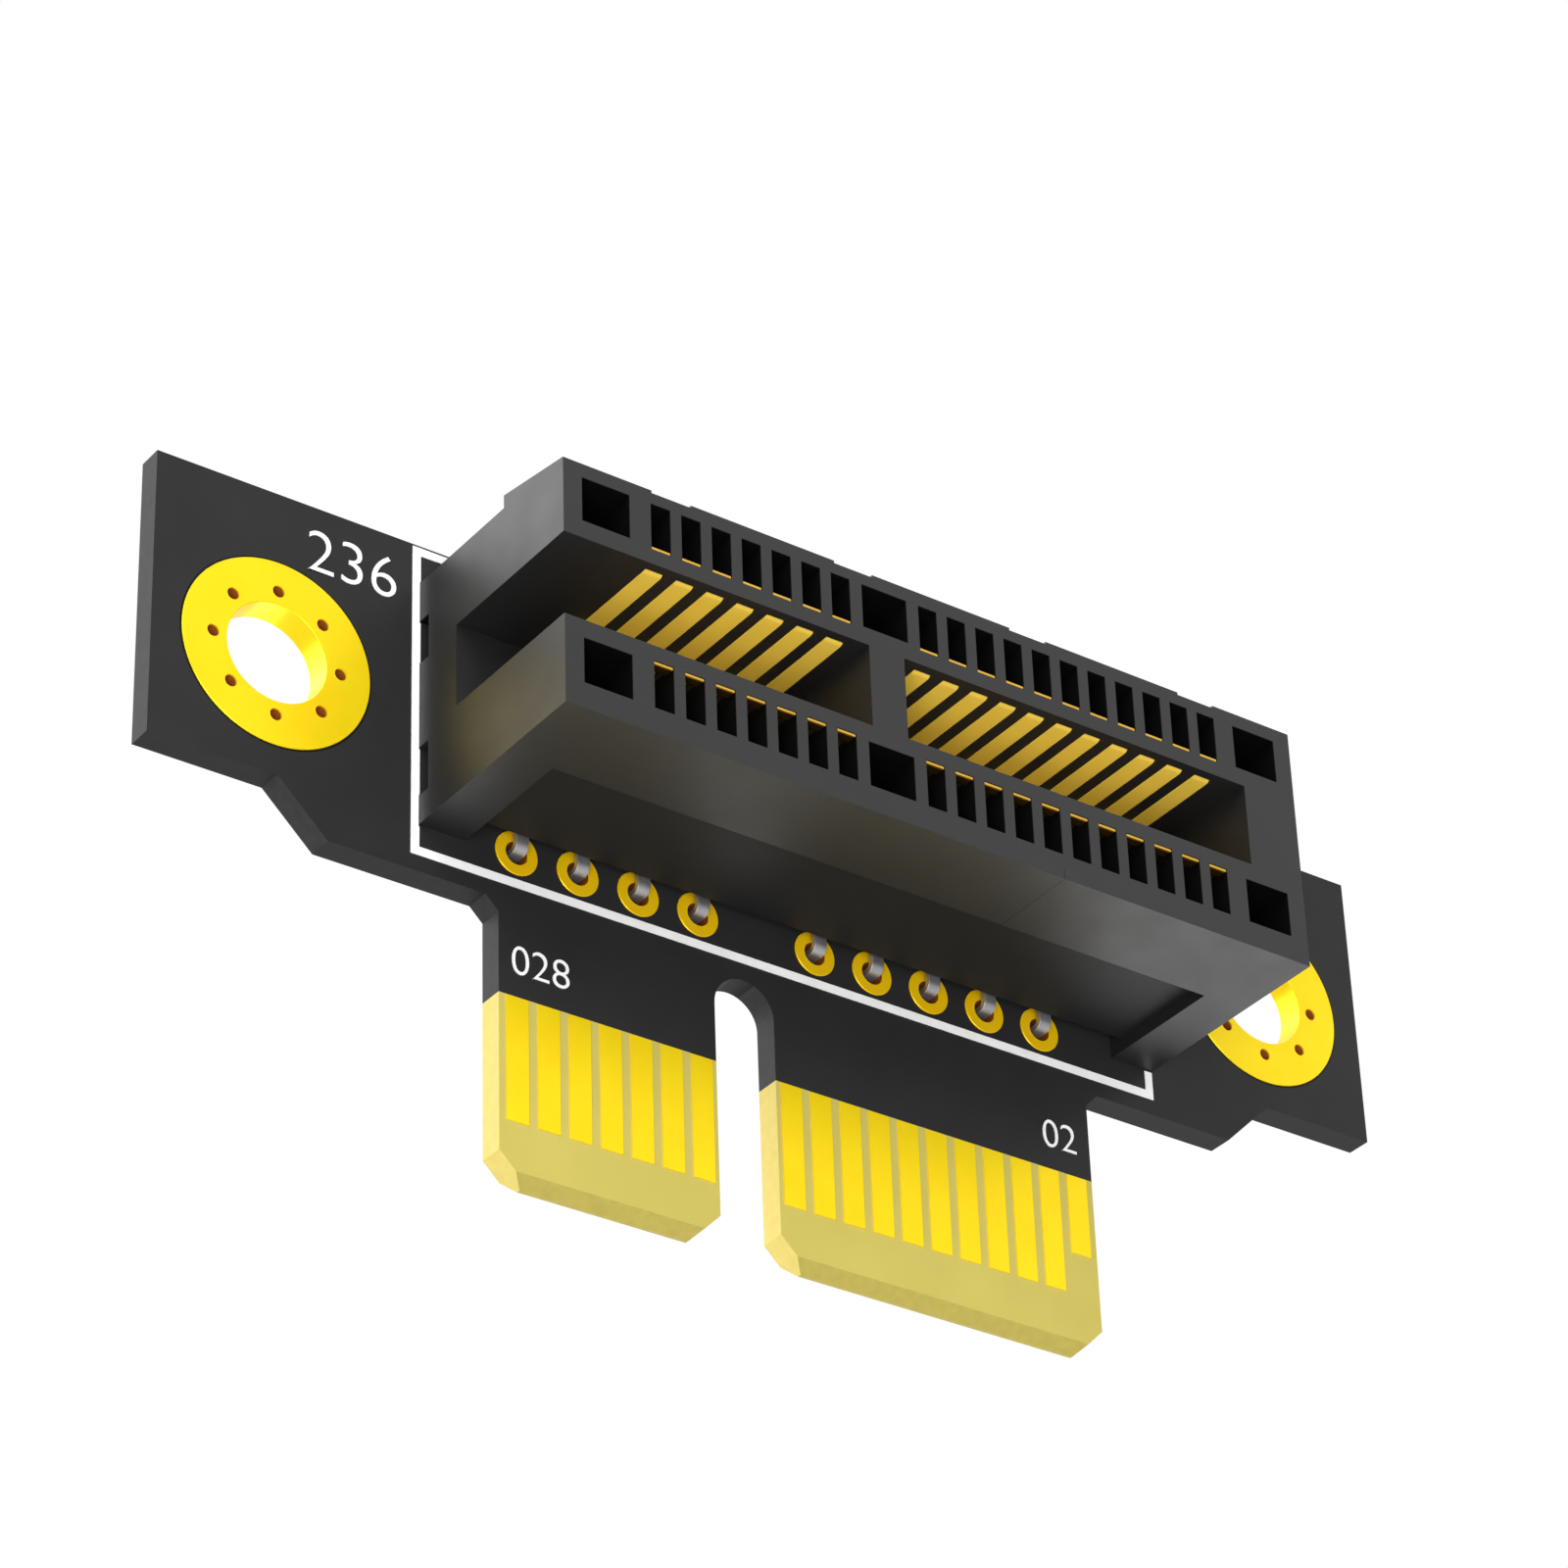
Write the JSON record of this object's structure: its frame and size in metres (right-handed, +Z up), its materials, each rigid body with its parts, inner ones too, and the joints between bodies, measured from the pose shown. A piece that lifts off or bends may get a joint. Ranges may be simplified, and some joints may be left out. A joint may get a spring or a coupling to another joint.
{
  "type": "pcie riser card",
  "caption": "Small upright riser card: a black board with a gold-fingered edge tongue below, a black plug-in card slot on its face and a plated mounting ring at each end.",
  "frame": {"origin": "middle of the key notch on the tongue's bottom edge, in the middle of the board's thickness", "axes": "+X to the right along the card, towards the longer row of fingers, +Z up from the tongue, -Y out of the slot's mouth"},
  "size_m": [0.042, 0.0092, 0.0192],
  "materials": {
    "laminate": "black solder mask over khaki glass-fibre laminate, bare on the tongue",
    "housing_plastic": "fine moulded satin black",
    "contact_metal": "stamped copper alloy, gold at the beam and tin at the tail",
    "gold_plate": "bright satin gold plating",
    "solder": "bright wetted solder",
    "white_ink": "screen-printed white ink"
  },
  "bodies": {
    "root": {"board": "laminate", "contact_a01": "contact_metal", "contact_a02": "contact_metal", "contact_a03": "contact_metal", "contact_a04": "contact_metal", "contact_a05": "contact_metal", "contact_a06": "contact_metal", "contact_a07": "contact_metal", "contact_a08": "contact_metal", "contact_a09": "contact_metal", "contact_a10": "contact_metal", "contact_a11": "contact_metal", "contact_a12": "contact_metal", "contact_a13": "contact_metal", "contact_a14": "contact_metal", "contact_a15": "contact_metal", "contact_a16": "contact_metal", "contact_a17": "contact_metal", "contact_a18": "contact_metal", "contact_b01": "contact_metal", "contact_b02": "contact_metal", "contact_b03": "contact_metal", "contact_b04": "contact_metal", "contact_b05": "contact_metal", "contact_b06": "contact_metal", "contact_b07": "contact_metal", "contact_b08": "contact_metal", "contact_b09": "contact_metal", "contact_b10": "contact_metal", "contact_b11": "contact_metal", "contact_b12": "contact_metal", "contact_b13": "contact_metal", "contact_b14": "contact_metal", "contact_b15": "contact_metal", "contact_b16": "contact_metal", "contact_b17": "contact_metal", "contact_b18": "contact_metal", "gold_fingers_back": "gold_plate", "gold_fingers_front": "gold_plate", "mount_ring_left": "gold_plate", "mount_ring_right": "gold_plate", "plated_holes_a_inner": "gold_plate", "plated_holes_a_outer": "gold_plate", "plated_holes_b_inner": "gold_plate", "plated_holes_b_outer": "gold_plate", "printed_outline": "white_ink", "slot_housing": "housing_plastic", "solder_joints_a_inner": "solder", "solder_joints_a_outer": "solder", "solder_joints_b_inner": "solder", "solder_joints_b_outer": "solder"}
  },
  "joints": []
}
